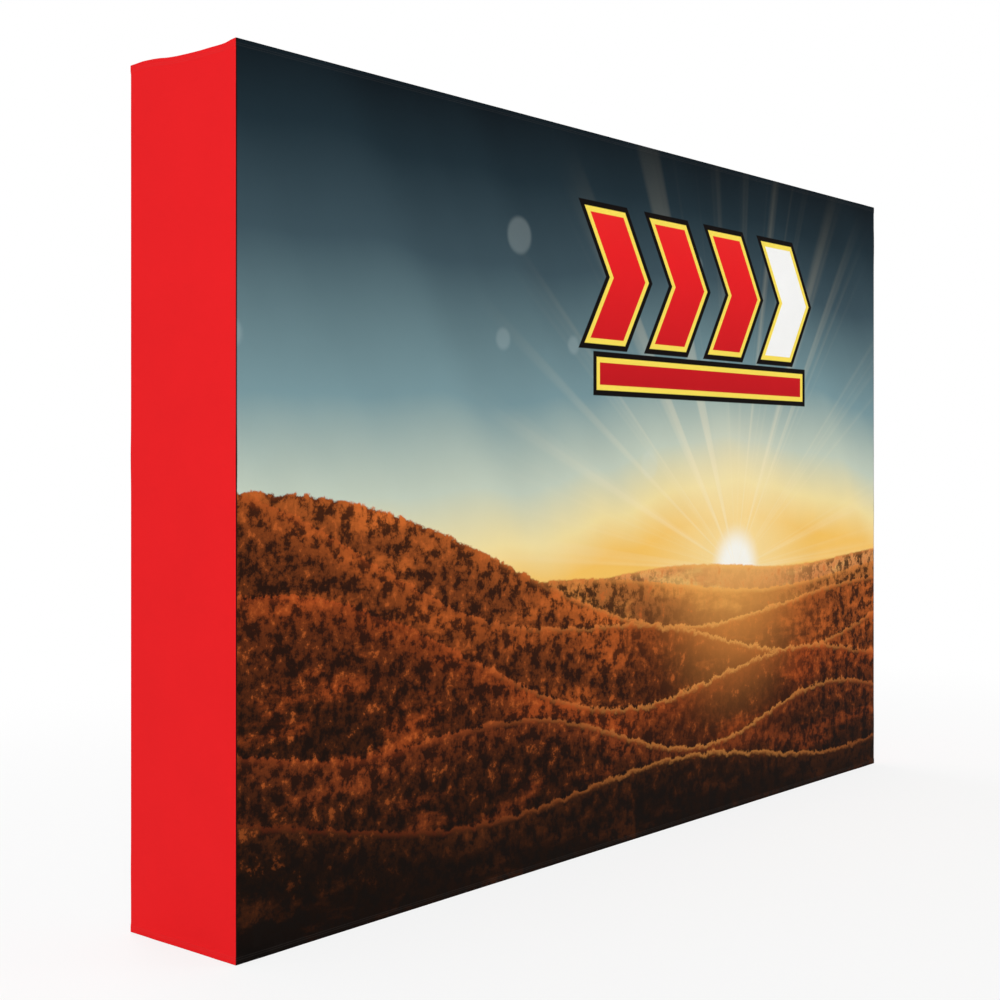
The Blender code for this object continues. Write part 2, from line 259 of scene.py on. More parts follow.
def wrap_line():
    """The line round half the display seen from above: x, y, the outward direction and the length run.

    It is straight along the front, turns a quarter circle, runs back along the end, turns again and
    runs in behind the rear hubs. The length is counted from the middle of the front.
    """
    corner_x = half_width - CORNER_BEND
    corner_y = half_depth - CORNER_BEND
    turn = np.linspace(-math.pi / 2, 0, CORNER_LINES)[1:]
    back_turn = np.linspace(0, math.pi / 2, CORNER_LINES)
    stretches = [
        (np.linspace(0, corner_x, FRONT_LINES), -half_depth, -math.pi / 2),
        (corner_x + CORNER_BEND * np.cos(turn), CORNER_BEND * np.sin(turn) - corner_y, turn),
        (half_width, np.linspace(-corner_y, corner_y, END_LINES)[1:-1], 0),
        (corner_x + CORNER_BEND * np.cos(back_turn), corner_y + CORNER_BEND * np.sin(back_turn), back_turn),
        (np.linspace(corner_x, corner_x - RETURN_WIDTH, RETURN_LINES)[1:], half_depth, math.pi / 2),
    ]
    x, y, angle = np.hstack([np.stack(np.broadcast_arrays(*stretch)) for stretch in stretches])
    run = np.concatenate([[0], np.cumsum(np.hypot(np.diff(x), np.diff(y)))])
    return x, y, np.cos(angle), np.sin(angle), run


def both_halves(values, sign):
    """Values along the right half of the line, carried on over the left half."""
    return np.concatenate([sign * values[:0:-1], values])


def end_sag(y):
    """How far the top edge hangs at a place on the end, from the shares measured along it, made smooth."""
    fine = np.linspace(0, 1, 401)
    window = np.hanning(2 * SAG_SMOOTHING + 1)
    shares = np.pad(np.interp(fine, END_PLACE_SHARES, END_SAG_SHARES), SAG_SMOOTHING, mode="edge")
    smooth = np.convolve(shares, window / window.sum(), mode="valid")
    return END_SAG * np.interp((half_depth - y) / (2 * half_depth), fine, smooth)


def pull_folds(run, heights):
    """How far the cloth stands proud in the faint folds that run out from each hub it hangs on.

    Round each hub the rise follows a sine of the direction from it, and fades in and out with the
    distance as a bell curve. The ends hang on the hubs' edges, and show the folds more strongly.
    """
    rise = np.zeros((len(heights), len(run)))
    hubs = [((column - COLUMNS / 2) * QUAD, FRONT_PULL) for column in range(COLUMNS + 1)]
    edges = itertools.product((-1, 1), (0, 2 * half_depth))
    hubs += [(side * (half_width + depth), END_PULL) for side, depth in edges]
    for (centre, strength), row in itertools.product(hubs, range(ROWS + 1)):
        beside = run[None, :] - centre
        above = heights[:, None] + cloth_bottom - HUB / 2 - row * QUAD
        far = np.hypot(beside, above)
        wave = 0.5 + 0.5 * np.sin(PULL_FOLDS * np.arctan2(above, beside) + row + centre)
        rise += strength * wave * np.exp(-(((far - PULL_REACH) / (PULL_REACH / 2)) ** 2))
    return PULL_RISE * rise


half_x, half_y, half_out_x, half_out_y, half_run = wrap_line()
line_x, line_y = both_halves(half_x, -1), both_halves(half_y, 1)
out_x, out_y = both_halves(half_out_x, -1), both_halves(half_out_y, 1)
run = both_halves(half_run, -1)
plain_rows = np.linspace(FIRST_PLAIN_ROW, cloth_height - FIRST_PLAIN_ROW, int(cloth_height / CLOTH_STEP))
heights = np.concatenate([HEM_ROWS, plain_rows, cloth_height - HEM_ROWS[::-1]])
edge = np.minimum(heights, cloth_height - heights)
hem = HEM_RISE * (0.5 - np.tanh((edge - HEM_WIDTH) / HEM_SLOPE) / 2) * np.clip(edge / HEM_FOLD, 0, 1) ** 0.5
seam = -SEAM_DEPTH * np.exp(-(((edge - SEAM_PLACE) / SEAM_WIDTH) ** 2))
proud = (hem + seam)[:, None] + pull_folds(run, heights)
on_end = np.abs(line_x) > half_width - 3 * CORNER_BEND
sag = (end_sag(line_y) * on_end)[None, :] * ((heights / cloth_height) ** SAG_FADE)[:, None]
cloth_x = line_x[None, :] + out_x[None, :] * proud
cloth_y = line_y[None, :] + out_y[None, :] * proud
cloth_z = cloth_bottom + heights[:, None] - sag
cloth_points = np.stack([cloth_x, cloth_y, cloth_z], -1)


def paint(red, green, blue):
    """A colour as it looks on a screen, 0 to 255, as the linear colour that a shader takes."""
    share = np.array([red, green, blue]) / 255
    linear = np.where(share <= 0.04045, share / 12.92, ((share + 0.055) / 1.055) ** 2.4)
    return (*linear.tolist(), 1)


def mix_colours(tree, share, under, over, blend="MIX"):
    """One colour laid over another by a share."""
    settings = {"data_type": "RGBA", "blend_type": blend}
    return add_node(tree, "ShaderNodeMix", {0: share, 6: under, 7: over}, **settings).outputs[2]


def ramp(tree, value, stops):
    """A colour that runs through stops of a place and a colour."""
    node = add_node(tree, "ShaderNodeValToRGB", {0: value})
    while len(node.color_ramp.elements) < len(stops):
        node.color_ramp.elements.new(0.5)
    for element, (place, colour) in zip(node.color_ramp.elements, stops):
        element.position = place
        element.color = colour
    return node.outputs[0]


def noise(tree, place, scale, detail, roughness=0.5, dimensions="3D"):
    """A cloudy value from 0 to 1 over a place in one, two or three dimensions."""
    inputs = {"Scale": scale, "Detail": detail, "Roughness": roughness}
    inputs["W" if dimensions == "1D" else "Vector"] = place
    return add_node(tree, "ShaderNodeTexNoise", inputs, noise_dimensions=dimensions).outputs[0]


def new_group(name, inputs, output_kinds):
    """An empty shader node group that takes a place and some numbers: its tree, inputs and outputs."""
    group = bpy.data.node_groups.new(name, "ShaderNodeTree")
    group.interface.new_socket("Place", in_out="INPUT", socket_type="NodeSocketVector")
    for socket_name in inputs:
        group.interface.new_socket(socket_name, in_out="INPUT", socket_type="NodeSocketFloat")
    for socket_name, kind in output_kinds.items():
        group.interface.new_socket(socket_name, in_out="OUTPUT", socket_type=kind)
    return group, group.nodes.new("NodeGroupInput").outputs, group.nodes.new("NodeGroupOutput").inputs


# The print: a sunrise sky over overlapping swells, worked out from the place on the flat cloth in metres.
# It is dyed into the cloth. The sky darkens upwards in slanting bands, and lightens towards the glow.
GLOW_PLACE = (0.42, 0.575)
GLOW_REACH = 0.42
GLOW_SHARE = 0.45
CORE_REACH = 0.12
LIT_SKY_REACH = 1.0
LIT_SKY_SHIFT = -0.09
BAND_SLANT = (0.87, 0.5)
BAND_SCALE = 4.5
BAND_SHIFT = 0.05
SKY_STOPS = (
    (0.36, (250, 198, 98)),
    (0.42, (246, 226, 162)),
    (0.50, (196, 207, 190)),
    (0.62, (120, 150, 156)),
    (0.80, (60, 80, 89)),
    (0.92, (29, 45, 53)),
    (1.0, (13, 23, 29)),
)

picture, given, result = new_group("printed_picture", (), {"Color": "NodeSocketColor"})
on_cloth = given["Place"]
parts = add_node(picture, "ShaderNodeSeparateXYZ", {0: on_cloth})
across, up = parts.outputs[0], parts.outputs[1]
glow_x = maths(picture, "SUBTRACT", across, GLOW_PLACE[0])
glow_y = maths(picture, "SUBTRACT", up, GLOW_PLACE[1])
squares = [maths(picture, "POWER", side, 2.0) for side in (glow_x, glow_y)]
glow_far = maths(picture, "SQRT", maths(picture, "ADD", *squares))
slants = [maths(picture, "MULTIPLY", side, share) for side, share in zip((across, up), BAND_SLANT)]
bands = noise(picture, maths(picture, "ADD", *slants), BAND_SCALE, 1.5, 0.4, "1D")
share_up = maths(picture, "DIVIDE", up, float(cloth_height))
banded = maths(picture, "MULTIPLY_ADD", maths(picture, "SUBTRACT", bands, 0.5), BAND_SHIFT, share_up)
lit = maths(picture, "MULTIPLY", step_between(picture, glow_far, LIT_SKY_REACH, 0.1), LIT_SKY_SHIFT)
sky_place = maths(picture, "MAXIMUM", maths(picture, "ADD", banded, lit), SKY_STOPS[0][0])
colour = ramp(picture, sky_place, [(place, paint(*shade)) for place, shade in SKY_STOPS])
wide_glow = maths(picture, "MULTIPLY", step_between(picture, glow_far, GLOW_REACH, 0.05), GLOW_SHARE)
colour = mix_colours(picture, wide_glow, colour, paint(255, 236, 190))
colour = mix_colours(picture, step_between(picture, glow_far, CORE_REACH, 0.05), colour, paint(255, 253, 244))

# Long faint rays leave the glow, and a few pale discs hang in the upper sky.
RAY_SCALE = 7.0
RAY_REACH = 1.15
RAY_SHARE = 0.3
DISC_SCALE = 4.2
DISC_CHANCE = 0.28
DISC_TOP = (1.44, 1.36)
DISC_SHARE = 0.12

ray_noise = noise(picture, maths(picture, "ARCTAN2", glow_y, glow_x), RAY_SCALE, 3.0, 0.6, "1D")
ray_fade = step_between(picture, glow_far, RAY_REACH, 0.1)
ray = maths(picture, "MULTIPLY", step_between(picture, ray_noise, 0.5, 0.72), ray_fade)
colour = mix_colours(picture, maths(picture, "MULTIPLY", ray, RAY_SHARE), colour, paint(255, 240, 205))
cell_inputs = {"Vector": on_cloth, "Scale": DISC_SCALE, "Randomness": 0.55}
cells = add_node(picture, "ShaderNodeTexVoronoi", cell_inputs, voronoi_dimensions="2D").outputs
cell_mark = add_node(picture, "ShaderNodeSeparateColor", {0: cells["Color"]})
disc_size = maths(picture, "MULTIPLY_ADD", cell_mark.outputs[0], 0.17, 0.05)
disc = step_between(picture, maths(picture, "SUBTRACT", cells["Distance"], disc_size), 0.035, -0.02)
is_chosen = maths(picture, "GREATER_THAN", cell_mark.outputs[1], 1 - DISC_CHANCE)
chosen = maths(picture, "MULTIPLY", disc, is_chosen)
faded = maths(picture, "MULTIPLY", step_between(picture, up, *DISC_TOP), DISC_SHARE)
colour = mix_colours(picture, maths(picture, "MULTIPLY", chosen, faded), colour, paint(214, 228, 226))

# Each swell lies in front of the one before, bright along its crest and dark at its foot: its height, its
# wave's height, radians per metre and start, its rise to the left, and the colours of its crest and foot.
SWELLS = (
    (0.585, 0.012, 6.2, 0.4, 0.02, (226, 152, 88), (172, 98, 54)),
    (0.545, 0.022, 4.4, 2.1, 0.10, (196, 118, 56), (112, 62, 30)),
    (0.485, 0.035, 3.4, 4.0, 0.30, (176, 90, 37), (92, 44, 19)),
    (0.405, 0.045, 4.8, 1.2, 0.34, (164, 80, 32), (74, 35, 15)),
    (0.315, 0.050, 3.8, 5.2, 0.26, (148, 66, 26), (60, 29, 13)),
    (0.215, 0.045, 5.2, 3.3, 0.16, (116, 53, 23), (34, 18, 9)),
    (0.115, 0.040, 4.0, 0.9, 0.10, (62, 31, 14), (11, 7, 5)),
)
SHADE_PER_METRE = 4.5
MIDDLE_PLACE = 0.3
RAGGED_SHARE = 0.9
RIM_WIDTH = 0.014
LEAF_SCALE = 30.0
LUMP_SCALE = 7.0
LUMP_STRETCH = (0.45, 1.5, 1.0)
WARM_SHARE = 0.4
WARM_GAIN = 1.4
LEAF_SHARE = 0.55
LEAF_FADE = (0.02, 0.35)
DARK_FADE = (0.12, 0.6)
DARK_SHARE = 0.72
DARK_LEAST = 0.16
RIM_FADE = (1.3, 0.1)
RIM_SHARE = 0.5
RIM_LEAST = 0.12
LEFT_RISE = (0.55, -1.25)
LOW_GLOW_SHARE = 0.42

leaf_noise = noise(picture, on_cloth, LEAF_SCALE, 6.0, 0.7, "2D")
stretched = add_node(picture, "ShaderNodeVectorMath", {0: on_cloth, 1: LUMP_STRETCH}, operation="MULTIPLY")
lump_noise = noise(picture, stretched.outputs[0], LUMP_SCALE, 6.0, 0.62, "2D")
near_glow = step_between(picture, glow_far, *RIM_FADE)
rim_light = maths(picture, "MULTIPLY_ADD", near_glow, RIM_SHARE, RIM_LEAST)
rim_shade = mix_colours(picture, near_glow, paint(206, 86, 36), paint(246, 168, 84))
left_rise = maths(picture, "POWER", step_between(picture, across, *LEFT_RISE), 1.6)
past_glow = step_between(picture, glow_far, *DARK_FADE)
dark_share = maths(picture, "MULTIPLY_ADD", past_glow, DARK_SHARE, DARK_LEAST)
dark_spots = maths(picture, "MULTIPLY", step_between(picture, leaf_noise, 0.57, 0.4), dark_share)
warm_spots = maths(picture, "MULTIPLY", step_between(picture, lump_noise, 0.5, 0.68), WARM_SHARE)
leaf_share = maths(picture, "MULTIPLY", step_between(picture, up, *LEAF_FADE), LEAF_SHARE)
leaves = maths(picture, "MULTIPLY", step_between(picture, leaf_noise, 0.58, 0.7), leaf_share)
ragged = maths(picture, "SUBTRACT", leaf_noise, 0.5)
for base, wave, turn_rate, start, rise, crest, foot in SWELLS:
    turn = maths(picture, "MULTIPLY_ADD", across, turn_rate, start)
    line = maths(picture, "MULTIPLY_ADD", maths(picture, "SINE", turn), wave, base)
    line = maths(picture, "MULTIPLY_ADD", left_rise, rise, line)
    line = maths(picture, "MULTIPLY_ADD", ragged, wave * RAGGED_SHARE, line)
    below = maths(picture, "SUBTRACT", line, up)
    middle = [(at_crest * 2 + at_foot * 3) / 5 for at_crest, at_foot in zip(crest, foot)]
    stops = [(0.0, paint(*crest)), (MIDDLE_PLACE, paint(*middle)), (1.0, paint(*foot))]
    body = ramp(picture, maths(picture, "MULTIPLY", below, SHADE_PER_METRE), stops)
    warm = paint(*[min(255, level * WARM_GAIN) for level in crest])
    body = mix_colours(picture, warm_spots, body, warm)
    body = mix_colours(picture, dark_spots, body, paint(18, 12, 9))
    body = mix_colours(picture, leaves, body, paint(208, 104, 44))
    rim = maths(picture, "MULTIPLY", step_between(picture, below, RIM_WIDTH, 0.0), rim_light)
    body = mix_colours(picture, rim, body, rim_shade)
    colour = mix_colours(picture, step_between(picture, below, -0.002, 0.003), colour, body)
low_glow = maths(picture, "MULTIPLY", step_between(picture, glow_far, GLOW_REACH, 0.0), LOW_GLOW_SHARE)
colour = mix_colours(picture, low_glow, colour, paint(255, 172, 84), "SCREEN")

# A row of chevrons over a bar, red and white with a yellow and a black edge.
CHEVRON_PLACE = (-0.02, 1.235)
CHEVRON_COUNT = 4
CHEVRON_PITCH = 0.24
CHEVRON_STROKE = 0.12
CHEVRON_HEIGHT = 0.27
CHEVRON_SLOPE = 0.62
SLANT_SHARE = 0.85
BAR_SIZE = (0.86, 0.048)
BAR_SHIFT = -0.04
BAR_DROP = 0.075
BLACK_EDGE = 0.0235
YELLOW_EDGE = 0.0115
PRINT_BLUR = 0.001

mark_x = maths(picture, "SUBTRACT", across, CHEVRON_PLACE[0])
mark_y = maths(picture, "SUBTRACT", up, CHEVRON_PLACE[1])
bent = maths(picture, "MULTIPLY_ADD", maths(picture, "ABSOLUTE", mark_y), CHEVRON_SLOPE, mark_x)
count = maths(picture, "ROUND", maths(picture, "DIVIDE", bent, CHEVRON_PITCH))
count = maths(picture, "MINIMUM", maths(picture, "MAXIMUM", count, 0.0), CHEVRON_COUNT - 1.0)
offset = maths(picture, "ABSOLUTE", maths(picture, "MULTIPLY_ADD", count, -CHEVRON_PITCH, bent))
stroke_gap = maths(picture, "MULTIPLY", maths(picture, "SUBTRACT", offset, CHEVRON_STROKE / 2), SLANT_SHARE)
height_gap = maths(picture, "SUBTRACT", maths(picture, "ABSOLUTE", mark_y), CHEVRON_HEIGHT / 2)
chevron_gap = maths(picture, "MAXIMUM", stroke_gap, height_gap)
bar_middle = CHEVRON_PITCH * (CHEVRON_COUNT - 1) / 2 + BAR_SHIFT
bar_x = maths(picture, "ABSOLUTE", maths(picture, "SUBTRACT", mark_x, bar_middle))
bar_y = maths(picture, "ABSOLUTE", maths(picture, "ADD", mark_y, CHEVRON_HEIGHT / 2 + BAR_DROP))
bar_gaps = [maths(picture, "SUBTRACT", place, size / 2) for place, size in zip((bar_x, bar_y), BAR_SIZE)]
bar_gap = maths(picture, "MAXIMUM", *bar_gaps)
mark_gap = maths(picture, "MINIMUM", chevron_gap, bar_gap)
is_last = maths(picture, "GREATER_THAN", count, CHEVRON_COUNT - 1.5)
is_white = maths(picture, "MULTIPLY", is_last, maths(picture, "LESS_THAN", chevron_gap, bar_gap))
red_stops = [(0.0, paint(186, 22, 30)), (0.6, paint(236, 32, 36)), (1.0, paint(240, 48, 44))]
red_shade = ramp(picture, maths(picture, "MULTIPLY_ADD", mark_y, 1.8, 0.5), red_stops)
mark_fill = mix_colours(picture, is_white, red_shade, paint(250, 250, 248))
for width, shade in ((BLACK_EDGE, paint(14, 9, 8)), (YELLOW_EDGE, paint(252, 226, 92)), (0, mark_fill)):
    covered = step_between(picture, mark_gap, width + PRINT_BLUR, width - PRINT_BLUR)
    colour = mix_colours(picture, covered, colour, shade)

# A thin dark line closes the picture at each side, and the ends and returns beyond it are plain red.
far_out = maths(picture, "SUBTRACT", maths(picture, "ABSOLUTE", across), float(half_width))
colour = mix_colours(picture, step_between(picture, far_out, -0.003, -0.0015), colour, paint(22, 14, 12))
front_share = step_between(picture, far_out, PRINT_BLUR / 2, -PRINT_BLUR / 2)
colour = mix_colours(picture, front_share, paint(237, 33, 37), colour)
picture.links.new(colour, result["Color"])

# The knit: fine ribs one way and loops the other, about a millimetre apart.
KNIT_PITCH = 0.001
LOOPS_PER_RIB = 0.8
knit, given, result = new_group("stretch_knit", (), {"Height": "NodeSocketFloat", "Shade": "NodeSocketFloat"})
parts = add_node(knit, "ShaderNodeSeparateXYZ", {0: given["Place"]})
rib = maths(knit, "SINE", maths(knit, "MULTIPLY", parts.outputs[0], math.tau / KNIT_PITCH))
loop = maths(knit, "SINE", maths(knit, "MULTIPLY", parts.outputs[1], math.tau / KNIT_PITCH * LOOPS_PER_RIB))
weave = maths(knit, "MULTIPLY_ADD", maths(knit, "MULTIPLY", rib, loop), 0.25, 0.5)
uneven = noise(knit, given["Place"], 9.0, 4.0, dimensions="2D")
knit.links.new(maths(knit, "MULTIPLY_ADD", uneven, 0.3, weave), result["Height"])
# The shade follows the weave, darker in the grooves and lighter on the loops: painted shade and painted
# highlight. The uneven noise adds a random mottle.
shade = maths(knit, "MULTIPLY_ADD", weave, 0.12, maths(knit, "MULTIPLY_ADD", uneven, 0.06, 0.91))
knit.links.new(shade, result["Shade"])

# The hems: two rows of thread run along each edge, in short stitches.
STITCH_PLACE = 0.010
STITCH_ROW_GAP = 0.0034
STITCH_LENGTH = 0.0034
sewing, given, result = new_group("twin_stitches", (), {"Thread": "NodeSocketFloat"})
parts = add_node(sewing, "ShaderNodeSeparateXYZ", {0: given["Place"]})
across, up = parts.outputs[0], parts.outputs[1]
from_side = maths(sewing, "SUBTRACT", float(run[-1]), maths(sewing, "ABSOLUTE", across))
from_edge = maths(sewing, "MINIMUM", up, maths(sewing, "SUBTRACT", float(cloth_height), up))
threads = []
for edge_gap, along in ((from_edge, across), (from_side, up)):
    off_line = maths(sewing, "ABSOLUTE", maths(sewing, "SUBTRACT", edge_gap, STITCH_PLACE))
    row_gap = maths(sewing, "ABSOLUTE", maths(sewing, "SUBTRACT", off_line, STITCH_ROW_GAP / 2))
    on_row = step_between(sewing, row_gap, 0.0006, 0.0003)
    wave = maths(sewing, "SINE", maths(sewing, "MULTIPLY", along, math.tau / STITCH_LENGTH))
    threads.append(maths(sewing, "MULTIPLY", on_row, step_between(sewing, wave, -0.7, -0.2)))
sewing.links.new(maths(sewing, "MAXIMUM", *threads), result["Thread"])

THREAD_COLOUR = paint(150, 140, 136)
THREAD_SHARE = 0.07
THREAD_HEIGHT = 1.5
KNIT_HEIGHT = 0.0002
SHOW_THROUGH = 0.3


def raise_surface(tree, surface, height, distance, strength=1.0, **settings):
    """Gives a surface a relief by a height from 0 to 1."""
    inputs = {"Height": height, "Distance": distance, "Strength": strength}
    relief = add_node(tree, "ShaderNodeBump", inputs, **settings)
    tree.links.new(relief.outputs[0], surface.inputs["Normal"])


def cloth_material(name, bare, dye_share):
    """The fabric's face or back: the picture over bare cloth by a share, with the knit's painted shade and
    random mottle, and raised by the knit.
    """
    values = {"Roughness": 0.85, "Specular IOR Level": 0.04, "Sheen Weight": 0.005}
    material, tree, surface = surface_of(name, values)
    place = {"Place": add_node(tree, "ShaderNodeAttribute", attribute_name="on_cloth").outputs["Vector"]}
    printed, woven, sewn = (
        add_node(tree, "ShaderNodeGroup", place, node_tree=group).outputs for group in (picture, knit, sewing)
    )
    dyed = mix_colours(tree, dye_share, bare, printed["Color"])
    # Multiplies the colour by the knit's painted shade in its grooves and painted highlight on its loops,
    # with the random mottle.
    shaded = mix_colours(tree, 1.0, dyed, woven["Shade"], "MULTIPLY")
    thread = maths(tree, "MULTIPLY", sewn["Thread"], THREAD_SHARE)
    tree.links.new(mix_colours(tree, thread, shaded, THREAD_COLOUR), surface.inputs["Base Color"])
    height = maths(tree, "MULTIPLY_ADD", sewn["Thread"], THREAD_HEIGHT, woven["Height"])
    raise_surface(tree, surface, height, KNIT_HEIGHT, 0.6)
    return material


fabric_face = cloth_material("dyed_knit_face", WHITE, 1.0)
fabric_back = cloth_material("dyed_knit_back", (0.80, 0.80, 0.79, 1), SHOW_THROUGH)
cloth_faces = grid_faces(len(heights), len(run))
fabric = make_piece("fabric", cloth_points, cloth_faces, [fabric_face, fabric_back], 60)
keep_on_points(fabric, "on_cloth", np.stack(np.broadcast_arrays(run[None, :], heights[:, None], 0), -1))
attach(fabric, "stand")
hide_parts("fabric_graphic")


# When the lattice folds, the fabric stays on the front hubs and its spare width and height bunch outwards.
# The ends are peeled off the rear hubs first, and flare out.
FOLDED_QUAD = 0.073
CLOTH = 0.0007
BUNCH_REACH = 0.3
BUNCH_SHARE = 0.85
BUNCH_SWELL = 0.033
END_FLARE = 0.075
END_BUNCH = 0.09
END_LIMIT = 1.3


def rigid_on_plates(place, quads):
    """How many quads a place is along the lattice, with no change across a hub's plate.

    Between two plates the share runs ahead by a sine, so that the spare cloth folds to a round loop. The
    second result is a bell between each two plates, the squared sine of the share.
    """
    place = np.clip(place, 0, quads * QUAD)
    whole = np.clip(np.floor(place / QUAD), 0, quads - 1)
    part = np.clip((place - whole * QUAD - HUB / 2) / (QUAD - HUB), 0, 1)
    return whole + part + BUNCH_SWELL * np.sin(math.tau * part), np.sin(math.pi * part) ** 2


column_place, column_bunch = rigid_on_plates(line_x + COLUMNS * QUAD / 2, COLUMNS)
row_place, row_bunch = rigid_on_plates(heights - HUB / 2, ROWS)
quad_shrink = QUAD - FOLDED_QUAD
past_corner = np.clip((np.abs(run) - half_width) / (2 * half_depth), 0, END_LIMIT)
is_end = past_corner > 0
flare = (past_corner * END_FLARE)[None, :] + is_end[None, :] * END_BUNCH * row_bunch[:, None]
to_left = np.clip(1 - column_place, 0, 1) - flare / quad_shrink * (line_x < 0)
right_quads = COLUMNS - 1
to_right = np.clip((column_place - 1) / right_quads, 0, 1) - flare / quad_shrink / right_quads * (line_x > 0)
upwards = np.repeat((row_place / ROWS)[:, None], len(run), 1)
outwards = 1 - (1 - BUNCH_SHARE * row_bunch[:, None]) * (1 - BUNCH_SHARE * column_bunch[None, :])
outwards = outwards * ~is_end

lead_joint = next(joint for joint in frame["joints"] if joint["name"] == "fold")
partner = next(joint for joint in frame["joints"] if joint["name"] == "pin_tube_b1_front_to_c1_rear")
pullers = [("front_hub_a1", to_left), ("front_hub_d1", to_right), ("front_hub_b3", upwards)]
hooks = [(frame["bodies"][body], share, body) for body, share in pullers]
for joint in (lead_joint, partner):
    # A point that a turning tube carries moves out from the front, and an empty follows its place alone.
    reach = bpy.data.objects.new("reach_" + joint["child"], None)
    side = 1 if joint["axis"][2] < 0 else -1
    reach.parent = frame["bodies"][joint["child"]]
    reach.location = np.array(joint["pos_m"]) + (side * BUNCH_REACH, 0, 0)
    lift = bpy.data.objects.new("lift_" + joint["child"], None)
    lift.constraints.new("COPY_LOCATION").target = reach
    for empty in (reach, lift):
        bpy.context.scene.collection.objects.link(empty)
    hooks.append((lift, outwards / 2, lift.name))
bpy.context.view_layer.update()
for puller, share, name in hooks:
    group = fabric.vertex_groups.new(name=name)
    levels, members = np.unique(np.round(share.ravel(), 3), return_inverse=True)
    order = np.argsort(members, kind="stable")
    bounds = np.searchsorted(members[order], np.arange(len(levels) + 1))
    for level, low, high in zip(levels, bounds, bounds[1:]):
        if level > 0:
            group.add(order[low:high].tolist(), float(level), "REPLACE")
    hook = fabric.modifiers.new(name, "HOOK")
    hook.object = puller
    hook.vertex_group = name
    hook.matrix_inverse = puller.matrix_world.inverted() @ fabric.matrix_world
thickness = fabric.modifiers.new("thickness", "SOLIDIFY")
thickness.thickness = CLOTH
thickness.offset = -1
thickness.material_offset = 1
thickness.material_offset_rim = 0


# The hubs: one black glass-filled nylon moulding, used 24 times. It has a square plate with a sunk seat,
# a cored block with a slot in each side, and a half post. The rear hubs are the same, turned half round.
DEPTH = 0.254
PIN_TO_PLATE_FACE = 0.015
PIN_REACH = 0.021
HALF_SPREAD = 0.0057
SLOT_HALF = 0.0035
SLOT_BOTTOM = 0.0145
BLOCK_REACH = 0.029
BLOCK_CHAMFER = 0.009
BLOCK_CORNER = 0.0009
BLOCK_INNER = 0.011
PLATE_CORNER = 0.014
PLATE_BACK = -0.010
SEAT_WIDTH = 0.050
SEAT_CORNER = 0.008
SEAT_FLOOR = -0.0142
# One of the four pockets that core the block, in millimetres
POCKET = ((1.5, 16.5), (12.5, 16.5), (17.0, 12.4), (26.0, 12.4), (26.0, 18.6), (18.6, 26.0), (1.5, 26.0))
POCKET_CORNER = 0.0018
POCKET_FLOOR = 0.003
POST_RADIUS = 0.006
SOCKET_RADIUS = 0.0044
# Each step of a profile: how far it stands out from the line, and its depth
PLATE_STEPS = (
    (-0.0012, PLATE_BACK),
    (-0.0003, PLATE_BACK - 0.0002),
    (0, PLATE_BACK - 0.0008),
    (0, -0.0134),
    (-0.0003, -0.0143),
    (-0.0010, -0.0149),
    (-0.0018, -PIN_TO_PLATE_FACE),
)
SEAT_STEPS = ((-0.0004, -PIN_TO_PLATE_FACE), (0, -0.0147), (0.0001, SEAT_FLOOR))
BLOCK_STEPS = (
    (0.0002, PLATE_BACK - 0.001),
    (0.0001, 0),
    (0, 0.0100),
    (-0.0002, 0.0106),
    (-0.0007, BLOCK_INNER),
)
POCKET_STEPS = (
    (-0.0005, BLOCK_INNER),
    (-0.0001, 0.0106),
    (0, 0.0100),
    (0.0002, 0.0036),
    (0.0009, POCKET_FLOOR),
)
POST_FOOT_STEPS = ((0.0052, 0.0104), (0.0052, 0.0116), (0.0049, 0.0121), (0.0036, 0.0124), (0.0016, 0.0132))
POST_SHANK_STEPS = ((0.0005, 0.0150), (0, 0.0185), (-0.0002, 0.060), (-0.0004, 0.1085), (-0.0003, 0.1090))
POST_TIP_STEPS = ((-0.0001, 0.1094), (-0.0001, 0.11), (-0.0001, 0.1248), (-0.0003, 0.1259), (-0.0009, 0.1263))
POST_STEPS = POST_FOOT_STEPS + POST_SHANK_STEPS + POST_TIP_STEPS
SOCKET_STEPS = ((0, 0.1263), (0, 0.1245))


def round_line(corners, radius, steps):
    """A closed line with round corners, and its outward directions.

    Each corner is a quadratic curve between the points that lie radius before and after it. The curve's
    slope, turned a quarter round, is the outward direction of a line that runs anticlockwise.
    """
    corners = np.asarray(corners, float)
    before = np.roll(corners, 1, 0) - corners
    after = np.roll(corners, -1, 0) - corners
    start = corners + before / np.linalg.norm(before, axis=1, keepdims=True) * radius
    end = corners + after / np.linalg.norm(after, axis=1, keepdims=True) * radius
    share = np.linspace(0, 1, steps)[None, :, None]
    start, middle, end = start[:, None], corners[:, None], end[:, None]
    line = start * (1 - share) ** 2 + middle * 2 * share * (1 - share) + end * share**2
    slope = (middle - start) * (1 - share) + (end - middle) * share
    slope = (slope / np.linalg.norm(slope, axis=2, keepdims=True)).reshape(-1, 2)
    return line.reshape(-1, 2), np.stack([slope[:, 1], -slope[:, 0]], -1)


def round_bar(radius, sides):
    """A circle of evenly spaced points, and its outward directions."""
    turn = np.arange(sides) * math.tau / sides
    out = np.stack([np.cos(turn), np.sin(turn)], -1)
    return out * radius, out


def quarters(places):
    """Places in the first quarter of a square, and the same turned a quarter round once, twice and thrice."""
    turn = np.array([(0, 1), (-1, 0)])
    return [np.asarray(places) @ np.linalg.matrix_power(turn, times) for times in range(4)]


